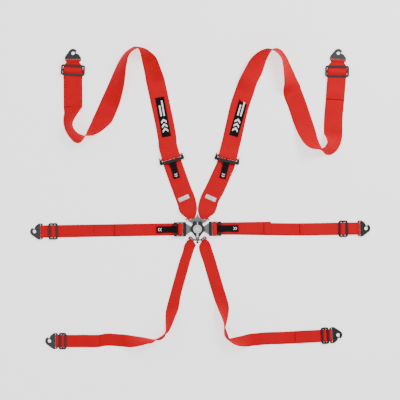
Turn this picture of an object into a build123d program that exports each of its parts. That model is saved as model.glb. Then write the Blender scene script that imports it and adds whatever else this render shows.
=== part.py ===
"""Racing harness laid out flat: cam-lock buckle, two shoulder, two lap and two crotch straps.

Millimetres, +Z up, the origin on the floor under the buckle axis, +Y toward the shoulder straps.
"""
import os
from math import cos, radians, sin, sqrt

from build123d import *

# webbing
SHOULDER_WEB = 75.0
LAP_WEB = 50.0
PLY = 1.6
DOUBLE = 3.2
FLOOR_GAP = 0.3
FLAT_SHARE = 0.97
FLAT_Z = FLOOR_GAP + PLY / 2
PAIR_Z = FLOOR_GAP + DOUBLE / 2
PAIR_TRIM = 0.2
PATCH = 0.6

# end fittings
BAR_Z = 6.3
LOOP_IN = 4.6
LOOP_OUT = 6.2
HOOK_THICK = 4.0
HOOK_TILT = 4.9
HOOK_EYE_AT = 30.0
HOOK_EYE_R = 6.5
HOOK_NOSE_R = 18.0
HOOK_MOUTH = 9.0
HOOK_SLOT = 56.0
HOOK_SLOT_AT = 5.4
HOOK_SLOT_LONG = 2.8
HOOK_EDGE = 0.6
GATE_PIN_R = 1.5
RUNNING_FIT = 0.05
SLIDE_BAR = 6.2
SLIDE_OUTER_BAR = 8.2
SLIDE_SHORT = 30.0
SLIDE_RAIL = 7.0
SLIDE_CORNER = 8.0
SLIDE_LOW = 1.2
SLIDE_HIGH = 11.2
SLIDE_BAR_THICK = 3.0
SLIDE_WIDE_SHOULDER = 96.0
SLIDE_WIDE_LAP = 66.5
RAISED_END = 80.0
RAISED_RAMP = 100.0

# adjusters
PIVOT_R = 2.8
KNURL_R = 4.0
KNURL_SPIGOT_R = 2.5
LAP_PIVOT_AT = 50.0
LAP_PIVOT_Z = 8.5
LAP_KNURL_AT = 68.0
LAP_OUTER_AT = 85.0
LAP_OUTER_Z = 11.0
LAP_SIDE_IN = 25.8
LAP_SIDE_OUT = 29.0
TAB_BAR_R = 2.2
TAB_PLY = 2.0
SHOULDER_PIVOT_AT = 6.0
SHOULDER_PIVOT_Z = 4.8
SHOULDER_KNURL_AT = 18.0
SHOULDER_KNURL_Z = 11.0
SHOULDER_SIDE_IN = 39.0
SHOULDER_SIDE_OUT = 41.5
SHOULDER_TAB_BAR_AT = -6.0
SHOULDER_TAB_BAR_Z = 8.0
SHOULDER_TAB_BAR_R = 1.8

# crotch bracket
BRACKET_Z = 9.6
BRACKET_R = 2.5

# buckle
PLATE_R = 26.0
PLATE_THICK = 3.0
HOUSING_R = 25.0
HOUSING_TOP = 16.0
CAVITY_R = 22.0
CAVITY_LOW = 7.4
CAVITY_HIGH = 14.6
SLOT_LOW = 3.8
TONGUE_LOW = 4.0
TONGUE_HIGH = 7.0
POST_R = 4.0
POST_TOP = 22.0
PIN_AT = 15.0
PIN_R = 2.2
PIN_LOW = 5.0
SPIDER_LOW = 8.2
SPIDER_HIGH = 9.4
KNOB_LOW = 16.4
KNOB_STEP = 22.0
KNOB_HIGH = 25.0
KNOB_EDGE = 0.4
DISC_R = 16.8

# routes: floor edge and raised edge of each row, measured across the strap
ROUTE_SHOULDER_LEFT = [
    ((-158, 356), (-84, 371)), ((-190, 516), (-117, 531)), ((-203, 576), (-129, 594)),
    ((-210, 614), (-144, 634)), ((-218, 652), (-162, 680)), ((-225, 684), (-186, 702)),
    ((-231, 710), (-210, 716)), ((-239, 724), (-229, 718)), ((-252, 730), (-246, 711)),
    ((-274, 719), (-262, 700)), ((-294, 702), (-273, 683)), ((-313, 674), (-278, 663)),
    ((-331, 638), (-284, 626)), ((-349, 597), (-290, 578)), ((-369, 552), (-302, 528)),
    ((-390, 506), (-322, 476)), ((-410, 461), (-341, 434)), ((-426, 425), (-364, 404)),
    ((-439, 398), (-388, 384)), ((-449, 374), (-418, 371)), ((-458, 357), (-445, 370)),
    ((-472, 344), (-466, 377)), ((-491, 346), (-480, 387)), ((-510, 364), (-490, 400)),
    ((-526, 388), (-494, 414)), ((-535, 414), (-492, 428)), ((-537, 442), (-482, 448)),
    ((-534, 466), (-468, 472)),
]
ROUTE_SHOULDER_RIGHT = [
    ((172, 340), (99, 357)), ((188, 412), (116, 430)), ((204, 480), (132, 500)),
    ((223, 536), (152.5, 558)), ((238, 582), (172, 608)), ((256, 618), (190, 642)),
    ((267, 648), (210, 676)), ((275, 674), (231, 696)), ((285, 695), (254, 709)),
    ((293, 709), (277, 715)), ((304, 722), (298, 710)), ((320, 724), (312, 700)),
    ((338, 714), (324, 688)), ((356, 690), (333, 673)), ((368, 665), (338, 652)),
    ((383, 633), (342, 620)), ((398, 600), (344, 580)), ((415, 560), (345, 532)),
    ((434, 510), (364, 480)), ((454, 450), (383, 428)), ((472, 396), (406, 370)),
    ((482, 360), (428, 336)), ((491, 337), (454, 319)), ((499, 322), (480, 318)),
    ((511, 299), (501, 324)), ((531, 296), (508, 333)), ((552, 308), (514, 343)),
    ((567, 328), (514, 353)), ((576, 352), (510, 368)), ((580, 384), (505, 384)),
    ((581, 440), (507, 440)),
]
ROUTE_CROTCH_LEFT = [
    ((-57, -82), (-8, -70)), ((-71, -124), (-22, -110)), ((-95, -208), (-46, -194)),
    ((-116, -284), (-68, -272)), ((-124, -315), (-74, -312)), ((-128, -348), (-88, -348)),
    ((-128, -380), (-102, -382)), ((-127, -408), (-116, -408)), ((-129, -428), (-137, -423)),
    ((-141, -441), (-148, -429)), ((-156, -446), (-160, -436)), ((-174, -443), (-176, -449)),
    ((-199, -437), (-203, -456)), ((-226, -432), (-232, -465)), ((-258, -427), (-264, -471)),
    ((-302, -421), (-304, -470)), ((-366, -418), (-366, -467)),
]
ROUTE_CROTCH_RIGHT = [
    ((56, -74), (7, -84)), ((70, -116), (21, -132)), ((91, -188), (42, -204)),
    ((114, -264), (66, -278)), ((126, -310), (81, -316)), ((124, -340), (92, -340)),
    ((118, -370), (104, -370)), ((111, -395), (112, -394)), ((107, -411), (118, -411)),
    ((110, -427), (123, -426)), ((120, -439), (127, -435)), ((134, -437), (136, -450)),
    ((156, -432), (160, -463)), ((182, -426), (186, -468)), ((218, -418), (220, -468)),
    ((274, -413), (276, -463)), ((340, -411), (342, -461)),
]

# lower shoulder straps: left edge, right edge and height of the middle of the web
TIP_LEFT = [
    ((-40, 41), (-17, 41), 8.0), ((-51, 49), (-9, 48), 8.0), ((-67, 62), (-4.5, 63), 8.0),
    ((-75, 78), (-1.5, 83), 5.5), ((-78, 92), (-4, 103), 3.0), ((-82, 104), (-10, 127), 1.9),
    ((-99, 150), (-29, 175), 1.9), ((-124, 219), (-52, 240), 1.9), ((-138, 262), (-66, 282), 1.9),
]
TIP_RIGHT = [
    ((17, 41), (40, 41), 8.0), ((8.5, 49), (49, 49), 8.0), ((3.5, 62), (66, 61), 8.0),
    ((1.5, 82), (76, 80), 5.5), ((5.5, 106), (80, 94), 3.0), ((12, 127), (82, 103), 1.9),
    ((37, 178), (107, 151), 1.9), ((65, 239), (137, 220), 1.9), ((82, 280), (154, 263), 1.9),
]

# end fittings: name, axis of the hook bar, heading, slide distance, slide length, slide turn,
# distance to the end of the tail, side of the mouth, side sign of the strap rows
ENDS = {
    "shoulder_left": ((-498, 673), 90.0, 38.0, 44.0, -3.0, 185.0, -1, -1),
    "shoulder_right": ((561, 673), 86.0, 43.0, 46.0, 3.0, 156.0, -1, 1),
    "lap_left": ((-622, -10), 180.9, 45.0, 38.0, 0.0, 207.0, -1, 1),
    "lap_right": ((644, 2), 0.9, 62.0, 38.0, 0.0, 236.0, 1, 1),
    "crotch_left": ((-562, -448), 180.0, 22.8, 32.0, 0.0, 170.0, -1, 1),
    "crotch_right": ((532, -425), 3.3, 22.8, 32.0, 0.0, 142.0, -1, -1),
}

# shoulder adjusters: middle of the crossbar, heading away from the buckle
SHOULDER_ADJUSTERS = {"left": ((-101, 269), 105.8), "right": ((116, 269), 76.4)}
LAP_HEADINGS = {"left": 180.9, "right": 0.9}
LAP_HEMS = {"left": 332.0, "right": 294.0}


def toward(heading):
    """Unit vector of a heading in degrees."""
    return Vector(cos(radians(heading)), sin(radians(heading)), 0)


def left_of(heading):
    """Unit vector to the left of a heading."""
    return Vector(-sin(radians(heading)), cos(radians(heading)), 0)


def local_frame(origin, heading, height=0.0):
    """Frame with local X along the heading and local Z up."""
    return Plane(origin=(origin[0], origin[1], height), x_dir=toward(heading), z_dir=(0, 0, 1))


def rows_to_stations(rows, width):
    """Turn floor edge and raised edge pairs into (centre, across, width) stations."""
    stations = []
    for low, high in rows:
        low_point = Vector(low[0], low[1], 0)
        span = Vector(high[0], high[1], 0) - low_point
        reach = span.length
        if reach > FLAT_SHARE * width:
            across = span.normalized()
            rise = 0.0
        else:
            rise = sqrt(width * width - reach * reach)
            across = Vector(span.X / width, span.Y / width, rise / width)
        middle = low_point + across * (width / 2)
        lean = sqrt(1 - across.Z * across.Z)
        height = FLOOR_GAP + rise / 2 + PLY / 2 * lean
        stations.append((Vector(middle.X, middle.Y, height), across, width))
    return stations


def path_to_stations(origin, heading, path, side=1):
    """Turn (distance, height, width) points along a heading into stations."""
    start = Vector(origin[0], origin[1], 0)
    stations = []
    for distance, height, width in path:
        centre = start + toward(heading) * distance + Vector(0, 0, height)
        stations.append((centre, left_of(heading) * side, width))
    return stations


def ribbon(stations, thick):
    """Closed solid of facets through the stations, each a width by thickness rectangle."""
    last = len(stations) - 1
    rings = []
    for index, (centre, across, width) in enumerate(stations):
        before = stations[max(index - 1, 0)][0]
        after = stations[min(index + 1, last)][0]
        along = after - before
        along = (along - across * along.dot(across)).normalized()
        up = along.cross(across) * (thick / 2)
        side = across * (width / 2)
        rings.append([centre - side - up, centre + side - up, centre + side + up, centre - side + up])
    facets = [Face(Wire.make_polygon(rings[0], close=True)), Face(Wire.make_polygon(rings[-1], close=True))]
    for near, far in zip(rings[:-1], rings[1:]):
        for corner in range(4):
            follow = (corner + 1) % 4
            quad = [near[corner], near[follow], far[follow], far[corner]]
            if corner == 2:
                quad = quad[1:] + quad[:1]
            facets.append(Face(Wire.make_polygon([quad[0], quad[1], quad[2]], close=True)))
            facets.append(Face(Wire.make_polygon([quad[0], quad[2], quad[3]], close=True)))
    return Solid(Shell(facets))


def join(*solids):
    """Union of overlapping solids."""
    with BuildPart() as whole:
        for solid in solids:
            add(solid)
    return whole.part


def edge_stations(rows):
    """Turn left edge, right edge and height rows into stations."""
    stations = []
    for left, right, height in rows:
        left_point = Vector(left[0], left[1], height)
        span = Vector(right[0], right[1], height) - left_point
        stations.append((left_point + span * 0.5, span.normalized(), span.length))
    return stations


def web_loop(width, inner, outer):
    """Ring of webbing round a bar, its axis along local Y."""
    with BuildPart() as ring:
        with BuildSketch(Plane.XZ.offset(-width / 2)):
            Circle(outer)
            Circle(inner, mode=Mode.SUBTRACT)
        extrude(amount=width)
    return ring.part


def end_webbing(name, web, main_stations):
    """Strap from its route to the loop round the hook bar, doubled back to the tail end."""
    origin, heading = ENDS[name][:2]
    tail = ENDS[name][5]
    side = ENDS[name][7]
    loop_wide = min(web, HOOK_SLOT - 2)
    pair_wide = web - PAIR_TRIM
    pair_path = [
        (-tail, PAIR_Z + 0.05, pair_wide), (-RAISED_RAMP, PAIR_Z + 0.05, pair_wide),
        (-RAISED_END, BAR_Z, pair_wide), (-22, BAR_Z, pair_wide), (-14, BAR_Z, (pair_wide + loop_wide) / 2),
        (-8, BAR_Z, loop_wide), (-LOOP_IN - 0.3, BAR_Z, loop_wide),
    ]
    pair = ribbon(path_to_stations(origin, heading, pair_path, side), DOUBLE)
    tail_inside = [(-tail - 25, FLAT_Z, web), (-tail + 8, FLAT_Z, web)]
    main = ribbon(main_stations + path_to_stations(origin, heading, tail_inside, side), PLY)
    ring = local_frame(origin, heading, BAR_Z).location * web_loop(loop_wide, LOOP_IN, LOOP_OUT)
    return join(main, pair, ring)


def hook_plate(mouth):
    """Flat snap hook in its own frame: bar axis along Y, nose toward +X, mouth on one side."""
    outline = [
        (-4, -27.5), (-4, 27.5), (-0.8, 32.4), (10, 32.4), (15.6, 30.4), (25.6, 22.4),
        (30, 14), (36, 0), (41, -14), (21.2, -28.4), (13.6, -32.8), (2.8, -32),
    ]
    outline = [(u, v * mouth) for u, v in outline]
    mouth_turn = 77.6 * mouth
    with BuildPart() as hook:
        with BuildSketch():
            Polygon(*outline, align=None)
            fillet(vertices(), radius=2.0)
            with Locations((HOOK_EYE_AT, 0)):
                Circle(HOOK_NOSE_R)
        extrude(amount=HOOK_THICK / 2, both=True)
        chamfer(faces().filter_by(Axis.Z).edges(), length=HOOK_EDGE)
        with BuildSketch():
            with Locations((HOOK_EYE_AT, 0)):
                Circle(HOOK_EYE_R)
            with Locations(Location((HOOK_EYE_AT, 0, 0), (0, 0, mouth_turn))):
                Rectangle(HOOK_NOSE_R + 4, HOOK_MOUTH, align=(Align.MIN, Align.CENTER))
            with Locations((HOOK_SLOT_AT, 0)):
                Rectangle(HOOK_SLOT_LONG, HOOK_SLOT)
            with Locations((20, 8 * mouth)):
                Circle(GATE_PIN_R + RUNNING_FIT)
        extrude(amount=HOOK_THICK, both=True, mode=Mode.SUBTRACT)
    return hook.part


def hook_gate(mouth):
    """Spring gate lying on the hook across its mouth, with its pivot pin."""
    top = HOOK_THICK / 2
    with BuildPart() as gate:
        with BuildSketch(Plane.XY.offset(top + 0.1)):
            with Locations((20, 8 * mouth)):
                Circle(3.0)
            with Locations((28, 9.6 * mouth)):
                Rectangle(16, 5.2)
        extrude(amount=1.4)
        with BuildSketch(Plane.XY.offset(top + 0.1)):
            with Locations((32, 8 * mouth)):
                Rectangle(4.6, 2.0)
        extrude(amount=-3.2)
        with Locations((20, 8 * mouth, 0)):
            Cylinder(GATE_PIN_R, 2 * top + 0.6)
        with Locations((20, 8 * mouth, -top - 0.4)):
            Cylinder(2.4, 0.6)
    return gate.part


def hook_frame(name):
    """Frame of a hook: bar axis as origin, nose leaning down onto the floor."""
    origin, heading = ENDS[name][:2]
    nose = toward(heading) * cos(radians(HOOK_TILT)) - Vector(0, 0, sin(radians(HOOK_TILT)))
    up = toward(heading) * sin(radians(HOOK_TILT)) + Vector(0, 0, cos(radians(HOOK_TILT)))
    return Plane(origin=(origin[0], origin[1], BAR_Z), x_dir=nose, z_dir=up)


def slide_buckle(long, wide):
    """Three-bar slide: outer bars over the web, centre bar under it."""
    outer = SLIDE_OUTER_BAR if long > SLIDE_SHORT else SLIDE_BAR
    window = (long - 2 * outer, wide - 2 * SLIDE_RAIL)
    with BuildPart() as slide:
        with BuildSketch(Plane.XY.offset(SLIDE_HIGH - SLIDE_BAR_THICK)):
            RectangleRounded(long, wide, SLIDE_CORNER)
            Rectangle(*window, mode=Mode.SUBTRACT)
        extrude(amount=SLIDE_BAR_THICK)
        chamfer(faces().sort_by(Axis.Z)[-1].edges(), length=0.6)
        with BuildSketch(Plane.XY.offset(SLIDE_LOW)):
            with Locations((0, wide / 2 - SLIDE_RAIL / 2), (0, SLIDE_RAIL / 2 - wide / 2)):
                Rectangle(long - 2 * SLIDE_CORNER, SLIDE_RAIL)
        extrude(amount=SLIDE_HIGH - SLIDE_LOW - 1)
        with BuildSketch(Plane.XY.offset(SLIDE_LOW)):
            Rectangle(SLIDE_BAR, wide - SLIDE_RAIL)
        extrude(amount=SLIDE_BAR_THICK)
    return slide.part


def knurled_bar(half_long, spigot):
    """Grip bar with ridges along it, its axis along local Y."""
    with BuildPart() as bar:
        with BuildSketch(Plane.XZ.offset(-half_long)):
            Circle(KNURL_R - 0.3)
            with PolarLocations(KNURL_R - 0.4, 16):
                Circle(0.4)
        extrude(amount=2 * half_long)
        with BuildSketch(Plane.XZ.offset(-half_long - spigot)):
            Circle(KNURL_SPIGOT_R)
        extrude(amount=2 * (half_long + spigot))
    return bar.part


def shoulder_adjuster():
    """Tilt-lock frame in its own frame: local X away from the buckle, crossbar at X = 0."""
    cheek = [
        (-2, 6.2), (-2, 9.5), (5, 11.5), (14, 16.2), (21, 15.5),
        (23, 9), (15, 5.4), (10, 1.6), (4, 1.4), (0.5, 4.6),
    ]
    ear = [
        (-1, 41), (13, 41), (24, 44), (26.5, 47), (24, 48),
        (13, 49.5), (7, 51), (1, 50.5), (-3, 47), (-3, 42),
    ]
    with BuildPart() as frame:
        for side in (-1, 1):
            with BuildSketch(Plane.XZ.offset(-side * SHOULDER_SIDE_IN)):
                Polygon(*cheek, align=None)
                fillet(vertices(), radius=0.8)
                with Locations((SHOULDER_KNURL_AT, SHOULDER_KNURL_Z)):
                    Circle(KNURL_SPIGOT_R + RUNNING_FIT, mode=Mode.SUBTRACT)
            extrude(amount=-side * (SHOULDER_SIDE_OUT - SHOULDER_SIDE_IN))
            with BuildSketch(Plane.XY.offset(7.2)):
                Polygon(*[(a, b * side) for a, b in ear], align=None)
                fillet(vertices(), radius=0.9)
            extrude(amount=2.4)
        with BuildSketch(Plane.XY.offset(6.4)):
            with Locations((-0.4, 0)):
                Rectangle(3.4, 2 * SHOULDER_SIDE_OUT)
        extrude(amount=3.2)
        with BuildSketch(Plane.XY.offset(9.6)):
            with Locations((3.1, 0)):
                RectangleRounded(11.2, 2 * SHOULDER_SIDE_OUT, 2)
        extrude(amount=2.2)
        with BuildSketch(Plane.XZ.offset(-SHOULDER_SIDE_OUT)):
            with Locations((SHOULDER_PIVOT_AT, SHOULDER_PIVOT_Z)):
                Circle(PIVOT_R)
        extrude(amount=2 * SHOULDER_SIDE_OUT)
        with BuildSketch(Plane.XZ.offset(-17)):
            with Locations((SHOULDER_TAB_BAR_AT, SHOULDER_TAB_BAR_Z)):
                Circle(SHOULDER_TAB_BAR_R)
        extrude(amount=34)
        with BuildSketch(Plane.XY.offset(6.6)):
            with Locations((-4, 15.5), (-4, -15.5)):
                Rectangle(7, 3)
        extrude(amount=2.8)
    return frame.part


def lap_adjuster():
    """Tilt-lock frame in its own frame: local X away from the buckle axis."""
    cheek = [
        (45, 6), (45.6, 14.4), (50, 15), (64, 15), (92, 15),
        (95, 13), (94, 9.5), (80, 5), (66, 3.6), (50, 3.6),
    ]
    with BuildPart() as frame:
        for side in (-1, 1):
            with BuildSketch(Plane.XZ.offset(-side * LAP_SIDE_IN)):
                Polygon(*cheek, align=None)
                fillet(vertices(), radius=1.2)
                with Locations((LAP_KNURL_AT, LAP_PIVOT_Z)):
                    Circle(KNURL_SPIGOT_R + RUNNING_FIT, mode=Mode.SUBTRACT)
            extrude(amount=-side * (LAP_SIDE_OUT - LAP_SIDE_IN))
        with BuildSketch(Plane.XY.offset(13.6)):
            with Locations((51.8, 0)):
                RectangleRounded(12.4, 2 * LAP_SIDE_OUT, 2.5)
            for across in (-21.5, 21.5):
                with Locations((88.6, across)):
                    RectangleRounded(11.6, 15, 2.5)
        extrude(amount=2.2)
        with BuildSketch(Plane.XZ.offset(-LAP_SIDE_OUT)):
            with Locations((LAP_PIVOT_AT, LAP_PIVOT_Z)):
                Circle(PIVOT_R)
            with Locations((LAP_OUTER_AT, LAP_OUTER_Z)):
                Circle(TAB_BAR_R)
        extrude(amount=2 * LAP_SIDE_OUT)
    return frame.part


def lap_webbing(side_name):
    """Lap strap: fold round the knurled bar, hemmed tail, long web and end loop."""
    name = "lap_" + side_name
    heading = LAP_HEADINGS[side_name]
    hem = LAP_HEMS[side_name]
    start = (0, 0)
    fold = [
        (100, 2.7), (90, 3.2), (83, 4.4), (79, 8.5), (75.5, 14), (72, 16.8), (67, 17.3), (63.6, 16),
        (62.2, 13), (62.2, 5), (63.5, 2.2), (66.5, FLAT_Z), (100, FLAT_Z),
    ]
    fold_path = [(distance, height, LAP_WEB - 0.4) for distance, height in fold]
    fold_web = ribbon(path_to_stations(start, heading, fold_path), PLY)
    pair_path = [(96, PAIR_Z, LAP_WEB - PAIR_TRIM), (hem, PAIR_Z, LAP_WEB - PAIR_TRIM)]
    pair = ribbon(path_to_stations(start, heading, pair_path), DOUBLE)
    main_path = path_to_stations(start, heading, [(hem - 8, FLAT_Z, LAP_WEB)])
    return join(fold_web, pair, end_webbing(name, LAP_WEB, main_path))


def shoulder_webbing(side_name):
    """Upper shoulder strap: fold round the knurled bar, routed web and end loop."""
    name = "shoulder_" + side_name
    origin, heading = SHOULDER_ADJUSTERS[side_name]
    rows = ROUTE_SHOULDER_LEFT if side_name == "left" else ROUTE_SHOULDER_RIGHT
    side = -1 if side_name == "left" else 1
    fold = [
        (54, FLAT_Z), (17, FLAT_Z), (14.2, 2.2), (12.9, 4.8), (12.9, 11.5), (13.9, 14.6), (16.5, 16.1),
        (21, 16.1), (32, 13.6), (46, 8.2), (62, 3.6),
    ]
    fold_path = [(distance, height, SHOULDER_WEB) for distance, height in fold]
    stations = path_to_stations(origin, heading, fold_path, side)
    return end_webbing(name, SHOULDER_WEB, stations + rows_to_stations(rows, SHOULDER_WEB))


def lower_strap(side_name):
    """Doubled lower strap: rounded tip over the tongue, loop round the adjuster pivot."""
    origin, heading = SHOULDER_ADJUSTERS[side_name]
    rows = TIP_LEFT if side_name == "left" else TIP_RIGHT
    axis = 120.0 if side_name == "left" else 60.0
    tip = edge_stations(rows[:4])
    body = edge_stations(rows[3:])
    top = ribbon(tip, PLY)
    pair = ribbon(body, DOUBLE)
    eye = [
        (62, 8.0, 30), (52, 8.0, 30), (50, 7.4, 30), (49.2, 5.5, 30), (50, 3.6, 30), (52, 2.9, 30),
        (62, 2.6, 30), (78, 2.8, 30), (100, 2.0, 30),
    ]
    loop = ribbon(path_to_stations((0, 0), axis, eye), PLY)
    reach = [(-12, PAIR_Z, SHOULDER_WEB - 0.6), (SHOULDER_PIVOT_AT - 3.4, PAIR_Z, SHOULDER_WEB - 0.6)]
    end = ribbon(path_to_stations(origin, heading, reach), DOUBLE)
    place = Vector(origin[0], origin[1], 0) + toward(heading) * SHOULDER_PIVOT_AT
    ring = local_frame((place.X, place.Y), heading, SHOULDER_PIVOT_Z).location * web_loop(
        SHOULDER_WEB - 0.6, PIVOT_R + 0.1, 4.5
    )
    return join(top, pair, loop, end, ring)


def crotch_webbing(side_name):
    """Crotch strap: eye round the bracket arm, routed web and end loop."""
    name = "crotch_" + side_name
    sign = -1 if side_name == "left" else 1
    rows = ROUTE_CROTCH_LEFT if side_name == "left" else ROUTE_CROTCH_RIGHT
    side = 1 if side_name == "left" else -1
    stations = rows_to_stations(rows, LAP_WEB)
    heading = 270 + sign * 38
    arm = (sign * 25.5, -42.1)
    eye_path = [(3.4, 9.4, 12), (12, 5.4, 20)]
    neck = path_to_stations(arm, heading, eye_path, side)
    ring = local_frame(arm, heading, BRACKET_Z).location * web_loop(11.6, 2.85, 4.45)
    main = end_webbing(name, LAP_WEB, stations)
    joint = ribbon(neck + [stations[0]], PLY)
    reach = ribbon([stations[0], stations[1]], PLY + 0.02)
    return join(ring, joint, reach, main)


def tongue(kind, heading):
    """Flat tongue of a strap: tip and window inside the buckle, broad end outside."""
    shapes = {
        "lap": [(9, 4.2), (16, 8.4), (22, 12), (28, 12), (32, 15), (44, 23), (46, 23)],
        "shoulder": [(9, 4.2), (15, 8), (30, 8), (56, 23), (59, 23)],
        "crotch": [(9, 4.2), (15, 8), (44, 8), (47, 7)],
    }
    half = shapes[kind]
    outline = half + [(r, -w) for r, w in reversed(half)]
    frame = local_frame((0, 0), heading, TONGUE_LOW)
    with BuildPart(frame) as plate:
        with BuildSketch(frame):
            Polygon(*outline, align=None)
            with Locations((15.0, 0)):
                Rectangle(9.4, 5.6, mode=Mode.SUBTRACT)
            if kind == "shoulder":
                with Locations((50.4, 0)):
                    Rectangle(5.6, 34, mode=Mode.SUBTRACT)
        extrude(amount=TONGUE_HIGH - TONGUE_LOW)
    solid = plate.part
    if kind == "lap":
        barrel = web_loop(46, PIVOT_R + RUNNING_FIT, 4.8)
        at = toward(heading) * LAP_PIVOT_AT
        placed = local_frame((at.X, at.Y), heading, LAP_PIVOT_Z).location * barrel
        solid = join(solid, placed)
    return solid


def buckle_housing():
    """Body of the buckle with four radial slots, a lid and the middle post."""
    cuts = [(180.9, 12.4, 8.8), (0.9, 12.4, 8.8), (120, 8.4, 8.4), (60, 8.4, 8.4), (270, 8.4, 8.4)]
    with BuildPart() as body:
        with Locations((0, 0, (PLATE_THICK + HOUSING_TOP) / 2)):
            Cylinder(HOUSING_R, HOUSING_TOP - PLATE_THICK)
        with Locations((0, 0, (CAVITY_LOW + CAVITY_HIGH) / 2)):
            Cylinder(CAVITY_R, CAVITY_HIGH - CAVITY_LOW, mode=Mode.SUBTRACT)
        for heading, outer, middle in cuts:
            frame = local_frame((0, 0), heading, SLOT_LOW)
            with BuildSketch(frame):
                half = [(8, 4.6), (15, middle), (22, outer), (30, outer)]
                Polygon(*(half + [(r, -w) for r, w in reversed(half)]), align=None)
            extrude(amount=CAVITY_LOW - SLOT_LOW, mode=Mode.SUBTRACT)
        with Locations((0, 0, (PLATE_THICK + POST_TOP) / 2)):
            Cylinder(POST_R, POST_TOP - PLATE_THICK)
    return body.part


def knob_shape():
    """Five-sided turning knob with two lobes and a stepped top."""
    outline = [
        (-16, 30), (-7, 31), (-3.5, 27), (3.5, 27), (7, 31),
        (16, 30), (30, -2), (9, -31), (-9, -31), (-30, -2),
    ]
    with BuildPart() as body:
        with BuildSketch(Plane.XY.offset(KNOB_LOW)):
            Polygon(*outline, align=None)
            fillet(vertices(), radius=2.4)
        extrude(amount=KNOB_STEP - KNOB_LOW)
        with BuildSketch(Plane.XY.offset(KNOB_STEP)):
            Polygon(*outline, align=None)
            fillet(vertices(), radius=2.4)
            offset(amount=-1.8, mode=Mode.REPLACE)
        extrude(amount=KNOB_HIGH - KNOB_STEP)
        chamfer(faces().sort_by(Axis.Z)[-1].edges(), length=KNOB_EDGE)
    with BuildPart() as knob:
        add(body.part)
        with BuildSketch(Plane.XY.offset(KNOB_LOW)):
            Circle(POST_R + RUNNING_FIT)
        extrude(amount=POST_TOP - KNOB_LOW + 0.2, mode=Mode.SUBTRACT)
    return knob.part


def pull_tab(kind):
    """Pull tab hanging from its bar: local X away from the bar."""
    if kind == "lap":
        bar, inner, outer, wide, path = 11.0, 2.4, 3.8, 26, [(3.0, 11), (16, 5.2), (78, 5.2)]
    else:
        bar, inner, outer, wide, path = 8.0, 1.9, 3.3, 25, [(2.4, 8), (10, 4.9), (62, 4.9)]
    ring = Location((0, 0, bar)) * web_loop(wide, inner, outer)
    tab = ribbon(path_to_stations((0, 0), 0, [(x, z, wide) for x, z in path]), TAB_PLY)
    return join(ring, tab)


def save(solid, name):
    """Label and write one node."""
    solid.label = name
    export_step(solid, "parts/" + name + ".step")


os.makedirs("parts", exist_ok=True)

# buckle
with BuildPart() as back_plate:
    with Locations((0, 0, PLATE_THICK / 2)):
        Cylinder(PLATE_R, PLATE_THICK)
    chamfer(edges().filter_by(GeomType.CIRCLE), length=0.5)
save(back_plate.part, "back_plate")
save(buckle_housing(), "buckle_housing")

with BuildPart() as lug:
    with BuildSketch(Plane.XY.offset(7.6)):
        Polygon((-12.5, 34), (-9, 25.4), (9, 25.4), (12.5, 34), (1.2, 58.5), (-1.2, 58.5), align=None)
    extrude(amount=1.8)
    with Locations((-3, 36, 8.5)):
        Cylinder(1.75, 4, mode=Mode.SUBTRACT)
save(lug.part, "strap_lug")
with BuildPart() as lug_rivet:
    with Locations((-3, 36, 8.7)):
        Cylinder(1.7, 2.2)
    with Locations((-3, 36, 10.1)):
        Cylinder(2.6, 1.2)
save(lug_rivet.part, "lug_rivet")

with BuildPart() as spider:
    with BuildSketch(Plane.XY.offset(SPIDER_LOW)):
        Circle(19.5)
        Circle(5.2, mode=Mode.SUBTRACT)
    extrude(amount=SPIDER_HIGH - SPIDER_LOW)
    for angle in (120, 60, 0, 270):
        pin_at = toward(angle) * PIN_AT
        with Locations((pin_at.X, pin_at.Y, (PIN_LOW + SPIDER_HIGH) / 2)):
            Cylinder(PIN_R, SPIDER_HIGH - PIN_LOW)
save(spider.part, "latch_spider")

with BuildPart() as spring:
    with BuildSketch(Plane.XY.offset(SPIDER_HIGH + 0.1)):
        Circle(10)
        Circle(8.4, mode=Mode.SUBTRACT)
    extrude(amount=CAVITY_HIGH - SPIDER_HIGH - 0.2)
save(spring.part, "latch_spring")

save(knob_shape(), "knob")
with BuildPart() as pointer:
    with BuildSketch(Plane.XY.offset(KNOB_HIGH)):
        with Locations((0, -16)):
            Rectangle(7, 32)
        with Locations((0, 14)):
            Rectangle(3.3, 28)
    extrude(amount=0.8)
save(pointer.part, "pointer_strip")
with BuildPart() as disc:
    with Locations((0, 0, KNOB_HIGH + 1.8)):
        Cylinder(DISC_R, 1.8)
    chamfer(faces().sort_by(Axis.Z)[-1].edges(), length=0.6)
save(disc.part, "knob_disc")

# crotch bracket: bent rod over the crotch tongue
rim = [(-36, -37.5), (-28.5, -30.5), (-13.5, -42.5), (0, -46), (13.5, -42.5), (28.5, -30.5), (36, -37.5)]
left_arm = [(-36, -37.5), (-33, -36.1), (-18, -48.1), (-13.5, -42.5)]
right_arm = [(-x, y) for x, y in left_arm]
with BuildPart() as bracket:
    for rod in (rim, left_arm, right_arm):
        for start, end in zip(rod[:-1], rod[1:]):
            run = Vector(end[0] - start[0], end[1] - start[1], 0)
            with BuildSketch(Plane(origin=(start[0], start[1], BRACKET_Z), z_dir=run)):
                Circle(BRACKET_R)
            extrude(amount=run.length)
        for point in rod:
            with Locations((point[0], point[1], BRACKET_Z)):
                Sphere(BRACKET_R)
save(bracket.part, "crotch_bracket")
save(tongue("crotch", 270), "crotch_tongue")
with BuildPart() as keeper:
    with BuildSketch(Plane.XY.offset(TONGUE_LOW)):
        with Locations((0, -53.2)):
            RectangleRounded(9, 8, 2)
    extrude(amount=6)
save(keeper.part, "crotch_keeper")

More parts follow.
